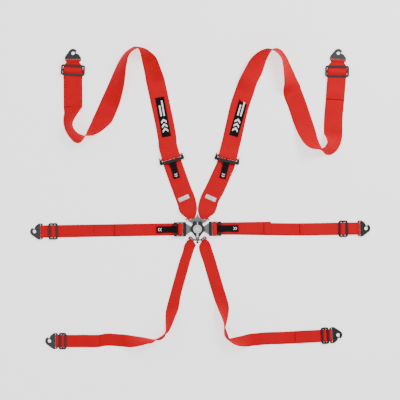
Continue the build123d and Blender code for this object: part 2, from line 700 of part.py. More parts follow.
# straps, tongues, adjusters
for side_name, axis in (("left", 120), ("right", 60)):
    save(tongue("shoulder", axis), "shoulder_tongue_" + side_name)
    save(lower_strap(side_name), "shoulder_lower_strap_" + side_name)
    save(shoulder_webbing(side_name), "shoulder_upper_strap_" + side_name)
    place, heading = SHOULDER_ADJUSTERS[side_name]
    frame = local_frame(place, heading)
    save(frame.location * shoulder_adjuster(), "shoulder_adjuster_" + side_name)
    bar_frame = Plane(frame.location * Location((SHOULDER_KNURL_AT, 0, SHOULDER_KNURL_Z)))
    save(bar_frame.location * knurled_bar(SHOULDER_SIDE_IN - 0.2, 2.4), "shoulder_grip_bar_" + side_name)
    tab_at = Vector(place[0], place[1], 0) + toward(heading) * SHOULDER_TAB_BAR_AT
    tab_frame = local_frame((tab_at.X, tab_at.Y), heading + 180)
    save(tab_frame.location * pull_tab("shoulder"), "shoulder_tab_" + side_name)

for side_name in ("left", "right"):
    heading = LAP_HEADINGS[side_name]
    save(tongue("lap", heading), "lap_tongue_" + side_name)
    save(lap_webbing(side_name), "lap_strap_" + side_name)
    frame = local_frame((0, 0), heading)
    save(frame.location * lap_adjuster(), "lap_adjuster_" + side_name)
    bar_frame = Plane(frame.location * Location((LAP_KNURL_AT, 0, LAP_PIVOT_Z)))
    save(bar_frame.location * knurled_bar(LAP_SIDE_IN - 0.2, 3.0), "lap_grip_bar_" + side_name)
    tab_at = toward(heading) * LAP_OUTER_AT
    save(local_frame((tab_at.X, tab_at.Y), heading).location * pull_tab("lap"), "lap_tab_" + side_name)
    save(crotch_webbing(side_name), "crotch_strap_" + side_name)

# labels sewn on the shoulder straps
for name, centre, heading, low, size in (
    ("shoulder_label_left", (-138, 448), 100.3, 2.0, (160, 36)),
    ("shoulder_label_right", (165.5, 449), 74.2, 2.0, (160, 36)),
    ("care_label_left", (-55, 123), 24.0, 3.6, (44, 16)),
    ("care_label_right", (54, 124), -24.0, 3.6, (44, 16)),
):
    with BuildPart() as label:
        with BuildSketch(local_frame(centre, heading, low)):
            RectangleRounded(size[0], size[1], 1.5)
        extrude(amount=PATCH)
    save(label.part, name)

# end fittings
for name, (origin, heading, slide_at, slide_long, slide_turn, tail, mouth, side) in ENDS.items():
    frame = hook_frame(name)
    save(frame.location * hook_plate(mouth), "hook_" + name)
    save(frame.location * hook_gate(mouth), "gate_" + name)
    wide = SLIDE_WIDE_SHOULDER if name.startswith("shoulder") else SLIDE_WIDE_LAP
    at = Vector(origin[0], origin[1], 0) - toward(heading) * slide_at
    place = local_frame((at.X, at.Y), heading + slide_turn)
    save(place.location * slide_buckle(slide_long, wide), "slide_" + name)
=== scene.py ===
import math

import bmesh
import bpy
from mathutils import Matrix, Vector


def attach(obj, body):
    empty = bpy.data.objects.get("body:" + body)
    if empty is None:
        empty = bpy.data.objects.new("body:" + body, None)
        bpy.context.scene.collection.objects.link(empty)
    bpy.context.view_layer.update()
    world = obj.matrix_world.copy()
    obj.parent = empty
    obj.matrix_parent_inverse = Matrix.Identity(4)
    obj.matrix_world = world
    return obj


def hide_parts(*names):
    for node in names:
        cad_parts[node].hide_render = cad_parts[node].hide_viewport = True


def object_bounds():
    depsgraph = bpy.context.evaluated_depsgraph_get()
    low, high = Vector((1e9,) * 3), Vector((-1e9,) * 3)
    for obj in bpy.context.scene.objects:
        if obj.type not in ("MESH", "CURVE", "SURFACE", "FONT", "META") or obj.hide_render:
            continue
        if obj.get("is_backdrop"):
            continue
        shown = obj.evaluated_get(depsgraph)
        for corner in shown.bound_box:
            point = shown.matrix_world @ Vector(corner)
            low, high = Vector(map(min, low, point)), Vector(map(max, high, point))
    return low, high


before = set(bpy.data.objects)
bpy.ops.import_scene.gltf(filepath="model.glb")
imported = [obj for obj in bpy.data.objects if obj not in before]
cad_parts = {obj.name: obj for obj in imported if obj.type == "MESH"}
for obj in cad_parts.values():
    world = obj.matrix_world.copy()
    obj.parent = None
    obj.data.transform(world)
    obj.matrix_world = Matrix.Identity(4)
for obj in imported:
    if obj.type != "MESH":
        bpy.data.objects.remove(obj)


def save_bounds(key, store):
    low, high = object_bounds()
    store[key] = [[float(c) for c in low], [float(c) for c in high]]


SIZES = {}
save_bounds("cad", SIZES)

# ---------------------------------------------------------------- materials


class Mat:
    """Small helper that builds a node material with constants on the shader's own sockets."""

    def __init__(self, name, color, rough, metal=0.0):
        self.mat = bpy.data.materials.new(name)
        self.mat.use_nodes = True
        self.tree = self.mat.node_tree
        self.shader = self.tree.nodes["Principled BSDF"]
        self.shader.inputs["Base Color"].default_value = (*color, 1)
        self.shader.inputs["Roughness"].default_value = rough
        self.shader.inputs["Metallic"].default_value = metal

    def node(self, kind, **values):
        made = self.tree.nodes.new(kind)
        for key, value in values.items():
            if hasattr(made, key):
                setattr(made, key, value)
            else:
                made.inputs[key].default_value = value
        return made

    def link(self, out, into):
        self.tree.links.new(out, into)

    def math(self, operation, first, second=None):
        made = self.tree.nodes.new("ShaderNodeMath")
        made.operation = operation
        for socket, value in zip(made.inputs, (first, second)):
            if value is None:
                continue
            if isinstance(value, (int, float)):
                socket.default_value = value
            else:
                self.link(value, socket)
        return made.outputs[0]

    def mix(self, factor, first, second):
        made = self.tree.nodes.new("ShaderNodeMix")
        made.data_type = "RGBA"
        self.link(factor, made.inputs["Factor"])
        for socket, value in ((made.inputs[6], first), (made.inputs[7], second)):
            if isinstance(value, tuple):
                socket.default_value = (*value, 1)
            else:
                self.link(value, socket)
        return made.outputs[2]

    def bump(self, height, strength, distance):
        made = self.node("ShaderNodeBump")
        made.inputs["Strength"].default_value = strength
        made.inputs["Distance"].default_value = distance
        self.link(height, made.inputs["Height"])
        self.link(made.outputs[0], self.shader.inputs["Normal"])


def webbing(name, color, dark, width):
    """Woven webbing; UV u runs across in metres and v along in metres."""
    m = Mat(name, color, 0.62)
    uv = m.node("ShaderNodeUVMap")
    split = m.node("ShaderNodeSeparateXYZ")
    m.link(uv.outputs[0], split.inputs[0])
    u, v = split.outputs[0], split.outputs[1]
    # fine ribs across, warp lines along
    warp = m.math("SINE", m.math("MULTIPLY", u, 2 * math.pi / 0.0016))
    weft = m.math("SINE", m.math("MULTIPLY", v, 2 * math.pi / 0.0022))
    cell = m.math("MULTIPLY", warp, weft)
    # three long ribbed lines in the weave
    lanes = m.math("ABSOLUTE", m.math("SINE", m.math("MULTIPLY", u, math.pi * 6 / width)))
    lane_line = m.math("LESS_THAN", lanes, 0.09)
    edge = m.math("GREATER_THAN", m.math("ABSOLUTE", u), width / 2 - 0.0026)
    noise = m.node("ShaderNodeTexNoise")
    m.link(m.tree.nodes.new("ShaderNodeTexCoord").outputs["Object"], noise.inputs["Vector"])
    noise.inputs["Scale"].default_value = 22.0
    noise.inputs["Detail"].default_value = 4.0
    shade = m.math("ADD", m.math("MULTIPLY", noise.outputs["Fac"], 0.34), 0.02)
    base = m.mix(shade, color, dark)
    line = m.mix(m.math("MULTIPLY", lane_line, 0.25), base, dark)
    rim = m.mix(m.math("MULTIPLY", edge, 0.3), line, dark)
    m.link(rim, m.shader.inputs["Base Color"])
    height = m.math("ADD", m.math("MULTIPLY", cell, 0.5), m.math("MULTIPLY", lane_line, -0.9))
    height = m.math("ADD", height, m.math("MULTIPLY", edge, 0.6))
    m.bump(height, 0.45, 0.0005)
    m.shader.inputs["Sheen Weight"].default_value = 0.0
    m.shader.inputs["Sheen Roughness"].default_value = 0.4
    m.shader.inputs["Specular IOR Level"].default_value = 0.03
    return m.mat


def grain(name, color, rough, metal, scale, strength, spread=0.12, stretch=(1, 1, 1)):
    """Painted, brushed or moulded surface with fine uneven gloss."""
    m = Mat(name, color, rough, metal)
    coord = m.node("ShaderNodeTexCoord")
    mapping = m.node("ShaderNodeMapping")
    mapping.inputs["Scale"].default_value = stretch
    m.link(coord.outputs["Object"], mapping.inputs["Vector"])
    noise = m.node("ShaderNodeTexNoise")
    noise.inputs["Scale"].default_value = scale
    noise.inputs["Detail"].default_value = 5.0
    m.link(mapping.outputs[0], noise.inputs["Vector"])
    low = m.math("ADD", m.math("MULTIPLY", noise.outputs["Fac"], 2 * spread), rough - spread)
    m.link(low, m.shader.inputs["Roughness"])
    m.bump(noise.outputs["Fac"], strength, 0.0004)
    bright = tuple(min(1.0, c * 1.25 + 0.004) for c in color)
    m.link(m.mix(noise.outputs["Fac"], color, bright), m.shader.inputs["Base Color"])
    return m.mat


RED = webbing("web_red_wide", (0.70, 0.004, 0.014), (0.42, 0.002, 0.0075), 0.075)
RED_LAP = webbing("web_red_lap", (0.70, 0.004, 0.014), (0.42, 0.002, 0.0075), 0.05)
BLACK_WEB = webbing("web_black", (0.012, 0.012, 0.014), (0.004, 0.004, 0.005), 0.026)
LABEL_BLACK = webbing("label_black", (0.010, 0.010, 0.012), (0.003, 0.003, 0.004), 0.036)
LABEL_WHITE = grain("label_white", (0.96, 0.96, 0.94), 0.6, 0, 900, 0.2)
PRINT_WHITE = grain("print_white", (0.97, 0.97, 0.96), 0.55, 0, 900, 0.15)
PRINT_GREY = grain("print_grey", (0.45, 0.45, 0.45), 0.6, 0, 900, 0.15)
THREAD = grain("thread_red", (0.50, 0.008, 0.010), 0.55, 0, 500, 0.2)
THREAD_DARK = grain("thread_black", (0.01, 0.01, 0.01), 0.55, 0, 500, 0.2)
STEEL_BLACK = grain("steel_black", (0.004, 0.004, 0.0045), 0.40, 0.0, 160, 0.08)
# the same black steel painted lighter, a painted sheen of reflected light
STEEL_BLACK_SHEEN = grain("steel_grey", (0.018, 0.019, 0.021), 0.40, 0.0, 160, 0.08)
BRIGHT = grain("steel_bright", (0.27, 0.27, 0.285), 0.30, 1.0, 120, 0.1, stretch=(1, 14, 1))
DISC = grain("disc_silver", (0.86, 0.87, 0.88), 0.36, 0.35, 260, 0.05)
KNOB = grain("knob_black", (0.012, 0.012, 0.013), 0.42, 0.0, 420, 0.15)
EMBLEM = grain("emblem_grey", (0.16, 0.165, 0.17), 0.45, 0.4, 300, 0.05)

# ---------------------------------------------------------------- shape helpers

SHOULDER = 0.075
LAP = 0.050
PLY = 0.0016
FLOOR = 0.0003


def heading_vec(heading):
    return Vector((math.cos(math.radians(heading)), math.sin(math.radians(heading)), 0))


def left_vec(heading):
    return Vector((-math.sin(math.radians(heading)), math.cos(math.radians(heading)), 0))


def from_rows(rows, width):
    """Stations (centre, across, width) from floor edge and raised edge pairs."""
    out = []
    for low, high in rows:
        a = Vector((low[0], low[1], 0))
        span = Vector((high[0], high[1], 0)) - a
        reach = span.length
        if reach > 0.97 * width:
            across, rise = span.normalized(), 0.0
        else:
            rise = math.sqrt(width * width - reach * reach)
            across = Vector((span.x / width, span.y / width, rise / width))
        mid = a + across * (width / 2)
        lean = math.sqrt(max(0.0, 1 - across.z * across.z))
        mid.z = FLOOR + rise / 2 + PLY / 2 * lean
        out.append((mid, across, width))
    return out


def from_path(origin, heading, path, side=1):
    base = Vector((origin[0], origin[1], 0))
    return [
        (base + heading_vec(heading) * d + Vector((0, 0, z)), left_vec(heading) * side, w) for d, z, w in path
    ]


def smooth(stations, step=0.008, tension=0.5):
    """Cubic through the stations, evenly spaced, keeping the web's width."""
    out = []
    count = len(stations)
    for i in range(count - 1):
        p0, p1 = stations[max(i - 1, 0)], stations[i]
        p2, p3 = stations[i + 1], stations[min(i + 2, count - 1)]
        gap = (p2[0] - p1[0]).length
        parts = max(1, int(math.ceil(gap / step)))
        d0 = max((p1[0] - p0[0]).length, 1e-5)
        d2 = max((p3[0] - p2[0]).length, 1e-5)
        for k in range(parts):
            t = k / parts
            h1 = 2 * t**3 - 3 * t**2 + 1
            h2 = t**3 - 2 * t**2 + t
            h3 = -2 * t**3 + 3 * t**2
            h4 = t**3 - t**2

            def blend(a, b, c, d):
                ta = (b - a) / d0 * gap if i > 0 else (c - b)
                tc = (c - b)
                tb = (d - c) / d2 * gap if i < count - 2 else (c - b)
                m1 = (ta + tc) * tension
                m2 = (tc + tb) * tension
                return b * h1 + m1 * h2 + c * h3 + m2 * h4

            centre = blend(p0[0], p1[0], p2[0], p3[0])
            across = blend(p0[1], p1[1], p2[1], p3[1]).normalized()
            width = blend(p0[2], p1[2], p2[2], p3[2])
            lean = math.sqrt(max(0.0, 1 - across.z * across.z))
            centre.z = max(centre.z, FLOOR + abs(across.z) * width / 2 + PLY / 2 * lean)
            out.append((centre, across, width))
    out.append(stations[-1])
    return out


def web_mesh(name, stations, thick, mat, uv_width=None, rows=8, belly=0.0):
    """Webbing: a rounded-edge slab through the stations with metre UVs."""
    mesh = bpy.data.meshes.new(name)
    bm = bmesh.new()
    uv = bm.loops.layers.uv.new("UVMap")
    half = thick / 2
    columns = [(-1.0, 0.0)]
    for k in range(rows + 1):
        columns.append((-0.985 + 1.97 * k / rows, 1.0))
    columns.append((1.0, 0.0))
    for k in range(rows + 1):
        columns.append((0.985 - 1.97 * k / rows, -1.0))
    rings, run = [], 0.0
    lengths = []
    last = len(stations) - 1
    for i, (centre, across, width) in enumerate(stations):
        before = stations[max(i - 1, 0)][0]
        after = stations[min(i + 1, last)][0]
        along = after - before
        along = (along - across * along.dot(across)).normalized()
        up = along.cross(across)
        if i:
            run += (centre - stations[i - 1][0]).length
        lengths.append(run)
        bulge = belly * min(1.0, max(0.0, abs(across.z) * 1.2 - 0.1))
        ring = []
        for s, n in columns:
            lift = bulge * (1 - s * s)
            ring.append(bm.verts.new(centre + across * (width / 2 * s) + up * (half * n + lift)))
        rings.append(ring)
    total = len(columns)

    def uv_of(i, k):
        return (columns[k][0] * (uv_width or stations[i][2]) / 2, lengths[i])

    for i in range(last):
        for k in range(total):
            j = (k + 1) % total
            face = bm.faces.new((rings[i][k], rings[i][j], rings[i + 1][j], rings[i + 1][k]))
            for loop, (a, b) in zip(face.loops, ((i, k), (i, j), (i + 1, j), (i + 1, k))):
                loop[uv].uv = uv_of(a, b)
            face.smooth = True
    bm.faces.new(rings[0])
    bm.faces.new(list(reversed(rings[-1])))
    bmesh.ops.recalc_face_normals(bm, faces=bm.faces)
    bm.to_mesh(mesh)
    bm.free()
    obj = bpy.data.objects.new(name, mesh)
    bpy.context.scene.collection.objects.link(obj)
    mesh.materials.append(mat)
    return obj


def solid_mesh(name, points, low, high, mat, bevel=0.0004, origin=(0, 0), heading=0.0, segments=2):
    """Extruded outline placed in the frame with a small bevel."""
    mesh = bpy.data.meshes.new(name)
    bm = bmesh.new()
    t, l = heading_vec(heading), left_vec(heading)
    base = Vector((origin[0], origin[1], 0))
    lower = [bm.verts.new(base + t * x + l * y + Vector((0, 0, low))) for x, y in points]
    upper = [bm.verts.new(base + t * x + l * y + Vector((0, 0, high))) for x, y in points]
    bm.faces.new(list(reversed(lower)))
    bm.faces.new(upper)
    for i in range(len(points)):
        j = (i + 1) % len(points)
        bm.faces.new((lower[i], lower[j], upper[j], upper[i]))
    bmesh.ops.recalc_face_normals(bm, faces=bm.faces)
    if bevel:
        edges = [e for e in bm.edges if all(abs(v.co.z - high) < 1e-7 for v in e.verts)]
        bmesh.ops.bevel(bm, geom=edges, offset=bevel, segments=segments, affect="EDGES", clamp_overlap=True)
    bm.to_mesh(mesh)
    bm.free()
    obj = bpy.data.objects.new(name, mesh)
    bpy.context.scene.collection.objects.link(obj)
    mesh.materials.append(mat)
    return obj


def ring_points(radius, count=48):
    turns = [2 * math.pi * k / count for k in range(count)]
    return [(radius * math.cos(turn), radius * math.sin(turn)) for turn in turns]


def join(name, objs):
    """Join pieces into the first one and name it."""
    bpy.ops.object.select_all(action="DESELECT")
    for o in objs:
        o.select_set(True)
    bpy.context.view_layer.objects.active = objs[0]
    bpy.ops.object.join()
    objs[0].name = name
    return objs[0]


def stitches(name, lines, mat, pitch=0.0042, radius=0.00035, long=0.0030):
    """Rows of raised thread along lists of points (top surface)."""
    mesh = bpy.data.meshes.new(name)
    bm = bmesh.new()
    for start, end in lines:
        a, b = Vector(start), Vector(end)
        run = (b - a).length
        if run < pitch:
            continue
        d = (b - a).normalized()
        side = d.cross(Vector((0, 0, 1))).normalized()
        up = side.cross(d).normalized()
        for k in range(int(run / pitch)):
            c = a + d * ((k + 0.5) * pitch)
            ends = []
            for s, w in ((-0.5, 0.35), (-0.25, 1.0), (0.25, 1.0), (0.5, 0.35)):
                ring = []
                for q in range(5):
                    ang = math.pi * q / 4
                    along = c + d * (s * long)
                    across = side * (radius * w * math.cos(ang))
                    above = up * (radius * w * math.sin(ang))
                    ring.append(bm.verts.new(along + across + above))
                ends.append(ring)
            for r1, r2 in zip(ends[:-1], ends[1:]):
                for q in range(5):
                    n = (q + 1) % 5
                    bm.faces.new((r1[q], r1[n], r2[n], r2[q]))
            bm.faces.new(ends[0])
            bm.faces.new(list(reversed(ends[-1])))
    bmesh.ops.recalc_face_normals(bm, faces=bm.faces)
    bm.to_mesh(mesh)
    bm.free()
    obj = bpy.data.objects.new(name, mesh)
    bpy.context.scene.collection.objects.link(obj)
    mesh.materials.append(mat)
    return obj


def stitch_box(origin, heading, d0, d1, half, z, cross=False):
    """Lines of a box seam in a local frame."""
    t, l = heading_vec(heading), left_vec(heading)
    base = Vector((origin[0], origin[1], z))
    p = [base + t * d + l * s for d, s in ((d0, -half), (d1, -half), (d1, half), (d0, half))]
    lines = [(p[0], p[1]), (p[1], p[2]), (p[2], p[3]), (p[3], p[0])]
    if cross:
        lines += [(p[0], p[2]), (p[1], p[3])]
    return lines


# ---------------------------------------------------------------- camera, light, floor

scene = bpy.context.scene
cam_data = bpy.data.cameras.new("camera")
cam_data.lens = 120
cam_data.sensor_width = 36
cam = bpy.data.objects.new("camera", cam_data)
scene.collection.objects.link(cam)
DISTANCE = 1.6 * 120 / 36
cam.location = (0.010, 0.116, DISTANCE + 0.004)
cam.rotation_euler = (0, 0, 0)
cam_data.clip_end = 50
scene.camera = cam

world = bpy.data.worlds.new("world")
world.use_nodes = True
world.node_tree.nodes["Background"].inputs[0].default_value = (1, 1, 1, 1)
world.node_tree.nodes["Background"].inputs[1].default_value = 0.72
scene.world = world


def area_light(name, place, size, power, aim=(0, 0.1, 0)):
    data = bpy.data.lights.new(name, "AREA")
    data.energy = power
    data.size = size
    obj = bpy.data.objects.new(name, data)
    obj.location = place
    obj.rotation_euler = (Vector(aim) - Vector(place)).to_track_quat("-Z", "Y").to_euler()
    scene.collection.objects.link(obj)
    return obj


area_light("key", (1.9, 1.9, 2.6), 1.1, 84)
area_light("fill", (-2.2, -0.6, 2.4), 2.2, 18)

floor_made = Mat("floor", (0.95, 0.95, 0.95), 0.9)
floor_made.shader.inputs["Emission Color"].default_value = (1, 1, 1, 1)
floor_made.shader.inputs["Emission Strength"].default_value = 1.3
floor_mat = floor_made.mat
floor_mesh = bpy.data.meshes.new("floor")
floor_mesh.from_pydata([(-9, -9, 0), (9, -9, 0), (9, 9, 0), (-9, 9, 0)], [], [(0, 1, 2, 3)])
floor = bpy.data.objects.new("floor", floor_mesh)
floor_mesh.materials.append(floor_mat)
scene.collection.objects.link(floor)
floor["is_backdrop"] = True

# ---------------------------------------------------------------- routes, in metres


def metres(rows):
    return [tuple((x / 1000, y / 1000) for x, y in row) for row in rows]


ROUTE_UL = metres([
    ((-158, 356), (-84, 371)), ((-190, 516), (-117, 531)), ((-203, 576), (-129, 594)),
    ((-210, 614), (-144, 634)), ((-218, 652), (-162, 680)), ((-225, 684), (-186, 702)),
    ((-231, 710), (-210, 716)), ((-239, 724), (-229, 718)), ((-252, 730), (-246, 711)),
    ((-274, 719), (-262, 700)), ((-294, 702), (-273, 683)), ((-313, 674), (-278, 663)),
    ((-331, 638), (-284, 626)), ((-349, 597), (-290, 578)), ((-369, 552), (-302, 528)),
    ((-390, 506), (-322, 476)), ((-410, 461), (-341, 434)), ((-426, 425), (-364, 404)),
    ((-439, 398), (-388, 384)), ((-449, 374), (-418, 371)), ((-458, 357), (-445, 370)),
    ((-472, 344), (-466, 377)), ((-491, 346), (-480, 387)), ((-510, 364), (-490, 400)),
    ((-526, 388), (-494, 414)), ((-535, 414), (-492, 428)), ((-537, 442), (-482, 448)),
    ((-534, 466), (-468, 472)),
])
ROUTE_UR = metres([
    ((172, 340), (99, 357)), ((188, 412), (116, 430)), ((204, 480), (132, 500)),
    ((223, 536), (152.5, 558)), ((238, 582), (172, 608)), ((256, 618), (190, 642)),
    ((267, 648), (210, 676)), ((275, 674), (231, 696)), ((285, 695), (254, 709)),
    ((293, 709), (277, 715)), ((304, 722), (298, 710)), ((320, 724), (312, 700)),
    ((338, 714), (324, 688)), ((356, 690), (333, 673)), ((368, 665), (338, 652)),
    ((383, 633), (342, 620)), ((398, 600), (344, 580)), ((415, 560), (345, 532)),
    ((434, 510), (364, 480)), ((454, 450), (383, 428)), ((472, 396), (406, 370)),
    ((482, 360), (428, 336)), ((491, 337), (454, 319)), ((499, 322), (480, 318)),
    ((511, 299), (501, 324)), ((531, 296), (508, 333)), ((552, 308), (514, 343)),
    ((567, 328), (514, 353)), ((576, 352), (510, 368)), ((580, 384), (505, 384)),
    ((581, 440), (507, 440)),
])
ROUTE_CL = metres([
    ((-57, -82), (-8, -70)), ((-71, -124), (-22, -110)), ((-95, -208), (-46, -194)),
    ((-116, -284), (-68, -272)), ((-124, -315), (-74, -312)), ((-128, -348), (-88, -348)),
    ((-128, -380), (-102, -382)), ((-127, -408), (-116, -408)), ((-129, -428), (-137, -423)),
    ((-141, -441), (-148, -429)), ((-156, -446), (-160, -436)), ((-174, -443), (-176, -449)),
    ((-199, -437), (-203, -456)), ((-226, -432), (-232, -465)), ((-258, -427), (-264, -471)),
    ((-302, -421), (-304, -470)), ((-366, -418), (-366, -467)),
])
ROUTE_CR = metres([
    ((56, -74), (7, -84)), ((70, -116), (21, -132)), ((91, -188), (42, -204)),
    ((114, -264), (66, -278)), ((126, -310), (81, -316)), ((124, -340), (92, -340)),
    ((118, -370), (104, -370)), ((111, -395), (112, -394)), ((107, -411), (118, -411)),
    ((110, -427), (123, -426)), ((120, -439), (127, -435)), ((134, -437), (136, -450)),
    ((156, -432), (160, -463)), ((182, -426), (186, -468)), ((218, -418), (220, -468)),
    ((274, -413), (276, -463)), ((340, -411), (342, -461)),
])
TIPS = {
    "left": [
        ((-40, 41), (-17, 41), 8.0), ((-51, 49), (-9, 48), 8.0), ((-67, 62), (-4.5, 63), 8.0),
        ((-75, 78), (-1.5, 83), 5.5), ((-78, 92), (-4, 103), 3.0), ((-82, 104), (-10, 127), 1.9),
        ((-99, 150), (-29, 175), 1.9), ((-124, 219), (-52, 240), 1.9), ((-138, 262), (-66, 282), 1.9),
    ],
    "right": [
        ((17, 41), (40, 41), 8.0), ((8.5, 49), (49, 49), 8.0), ((3.5, 62), (66, 61), 8.0),
        ((1.5, 82), (76, 80), 5.5), ((5.5, 106), (80, 94), 3.0), ((12, 127), (82, 103), 1.9),
        ((37, 178), (107, 151), 1.9), ((65, 239), (137, 220), 1.9), ((82, 280), (154, 263), 1.9),
    ],
}
ENDS = {
    "shoulder_left": ((-0.498, 0.673), 90.0, 0.038, 0.185, -1),
    "shoulder_right": ((0.561, 0.673), 86.0, 0.043, 0.156, 1),
    "lap_left": ((-0.622, -0.010), 180.9, 0.045, 0.207, 1),
    "lap_right": ((0.644, 0.002), 0.9, 0.062, 0.236, 1),
    "crotch_left": ((-0.562, -0.448), 180.0, 0.0228, 0.170, 1),
    "crotch_right": ((0.532, -0.425), 3.3, 0.0228, 0.142, -1),
}
ADJUSTERS = {"left": ((-0.101, 0.269), 105.8), "right": ((0.116, 0.269), 76.4)}
LAP_HEADINGS = {"left": 180.9, "right": 0.9}
LAP_HEMS = {"left": 0.332, "right": 0.294}
BODY = {
    "shoulder_left": "shoulder_left", "shoulder_right": "shoulder_right", "lap_left": "buckle",
    "lap_right": "lap_right", "crotch_left": "crotch", "crotch_right": "crotch",
}


LOOP_WIDE_MAX = 0.054   # widest web that passes the slot of a hook


def end_pieces(name, width):
    """Main run into the end, the top ply back to the tail, and the loop round the hook bar."""
    origin, heading = ENDS[name][:2]
    tail, side = ENDS[name][3:]
    loop = min(width, LOOP_WIDE_MAX)
    lower = [
        (-tail + 0.004, 0.0011, width), (-0.104, 0.0011, width),
        (-0.092, 0.0030, width), (-0.080, 0.0055, width),
        (-0.022, 0.0055, width), (-0.014, 0.0055, (width + loop) / 2),
        (-0.0075, 0.0055, loop), (-0.0048, 0.0040, loop),
    ]
    lower += [(0.0054 * math.cos(math.radians(a)), 0.0063 + 0.0054 * math.sin(math.radians(a)), loop)
              for a in (-120, -90, -60, -30, 0, 30, 60, 90, 120)]
    upper = [
        (-0.0048, 0.0086, loop), (-0.0075, 0.0072, loop),
        (-0.014, 0.0071, (width + loop) / 2), (-0.022, 0.0071, width),
        (-0.080, 0.0071, width), (-0.092, 0.0066, width),
        (-0.104, 0.0058, width), (-(tail + 0.104) / 2, 0.0062, width),
        (-tail + 0.012, 0.0048, width), (-tail, 0.0027, width),
    ]
    top = from_path(origin, heading, upper, side)
    return from_path(origin, heading, lower, side), top


# ---------------------------------------------------------------- straps

LOWER_WIDE = 0.0744   # lower shoulder strap at its adjuster, a little under the full web


def strap(node, name, body, runs, mat, uv_width, belly=0.0):
    """Strap of one or more runs of web, joined, standing for its CAD node."""
    objs = []
    for i, (stations, step, thick) in enumerate(runs):
        objs.append(web_mesh(name + "_run%d" % i, smooth(stations, step), thick, mat, uv_width, belly=belly))
    obj = join(name, objs)
    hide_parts(node)
    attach(obj, body)
    return obj


def shoulder_upper(side_name):
    name = "shoulder_" + side_name
    origin, heading = ADJUSTERS[side_name]
    side = -1 if side_name == "left" else 1
    rows = ROUTE_UL if side_name == "left" else ROUTE_UR
    fold = [
        (54, 1.1), (24, 1.1), (16, 1.1), (13.0, 2.2), (11.5, 4.8), (11.5, 11.5), (12.8, 14.6), (16.0, 16.1),
        (21, 16.1), (32, 13.6), (46, 8.2), (62, 3.6),
    ]
    stations = from_path(origin, heading, [(d / 1000, z / 1000, SHOULDER) for d, z in fold], side)
    stations += from_rows(rows, SHOULDER)
    lower, upper = end_pieces(name, SHOULDER)
    whole = stations + lower + upper
    obj = strap(
        "shoulder_upper_strap_" + side_name, "web_shoulder_upper_" + side_name, BODY[name],
        [(whole, 0.007, PLY)], RED, SHOULDER, belly=0.004,
    )
    return obj


def shoulder_lower(side_name):
    origin, heading = ADJUSTERS[side_name]
    axis = 120.0 if side_name == "left" else 60.0
    rows = []
    for left, right, z in TIPS[side_name]:
        a = Vector((left[0] / 1000, left[1] / 1000, z / 1000))
        b = Vector((right[0] / 1000, right[1] / 1000, z / 1000))
        if z <= 1.9:
            a.z = b.z = 0.0027
        rows.append(((a + b) / 2, (b - a).normalized(), (b - a).length))
    top = rows[:-1]
    place = [(-0.012, 0.0027, LOWER_WIDE), (-0.002, 0.0027, LOWER_WIDE), (0.0018, 0.0030, LOWER_WIDE)]
    ring = [
        (0.006 + 0.0037 * math.cos(math.radians(a)), 0.0048 + 0.0037 * math.sin(math.radians(a)), LOWER_WIDE)
        for a in (190, 150, 110, 70, 30, -10, -50, -90)
    ]
    back = [(0.002, 0.0011, LOWER_WIDE), (-0.010, 0.0011, 0.0740), (-0.022, 0.0011, 0.0730)]
    side = -1
    tail = from_path(origin, heading, place + ring + back, side)
    whole = top + tail
    under = [rows[3], rows[4], rows[5], rows[6]]
    under = [(c + Vector((0, 0, -0.0016)), a, w - 0.001) for c, a, w in under]
    eye = from_path((0, 0), axis, [
        (0.062, 0.0080, 0.030), (0.052, 0.0080, 0.030), (0.050, 0.0074, 0.030), (0.0492, 0.0055, 0.030),
        (0.050, 0.0036, 0.030), (0.052, 0.0029, 0.030), (0.062, 0.0026, 0.030), (0.078, 0.0026, 0.030),
    ], side)
    obj = strap(
        "shoulder_lower_strap_" + side_name, "web_shoulder_lower_" + side_name, "shoulder_" + side_name,
        [(whole, 0.006, PLY), (under, 0.008, PLY), (eye, 0.003, PLY)], RED, SHOULDER,
    )
    lines = []
    centre, tilt = ((-61, 151), 16) if side_name == "left" else ((68, 158), -22)
    for shift in (0, 13):
        c = Vector((centre[0] / 1000, centre[1] / 1000, 0.0036))
        n = Vector((math.cos(math.radians(tilt)), math.sin(math.radians(tilt)), 0))
        m = Vector((-n.y, n.x, 0))
        for k in (0, 0.0022):
            q = c + m * (shift / 1000 + k)
            lines.append((q - n * 0.034, q + n * 0.034))
    seam = stitches("seam_shoulder_" + side_name, lines, THREAD)
    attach(seam, "shoulder_" + side_name)
    return obj


def lap_strap(side_name):
    name = "lap_" + side_name
    heading = LAP_HEADINGS[side_name]
    hem = LAP_HEMS[side_name]
    path = [
        (hem, 2.7), (100, 2.7), (90, 3.2), (83, 4.4), (79, 8.5),
        (75.5, 14), (72, 16.8), (66, 17.3), (61.2, 16),
        (59.6, 13), (59.6, 5), (61, 2.2), (65, 1.1), (100, 1.1),
    ]
    fold = [((d if d > 1 else d * 1000) / 1000, z / 1000, LAP) for d, z in path]
    stations = from_path((0, 0), heading, fold, 1)
    lower, upper = end_pieces(name, LAP)
    whole = stations + lower + upper
    obj = strap(
        "lap_strap_" + side_name, "web_lap_" + side_name, BODY[name], [(whole, 0.008, PLY)], RED_LAP, LAP,
    )
    # turned hem at the end of the tail
    hem_path = [(hem - 0.029, 0.0043, LAP), (hem, 0.0043, LAP)]
    hem_run = smooth(from_path((0, 0), heading, hem_path, 1), 0.006)
    patch = web_mesh("hem_lap_" + side_name, hem_run, PLY, RED_LAP, LAP)
    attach(patch, BODY[name])
    seam = stitches(
        "seam_hem_" + side_name,
        stitch_box((0, 0), heading, hem - 0.027, hem - 0.002, 0.022, 0.0052, True), THREAD
    )
    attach(seam, BODY[name])
    return obj


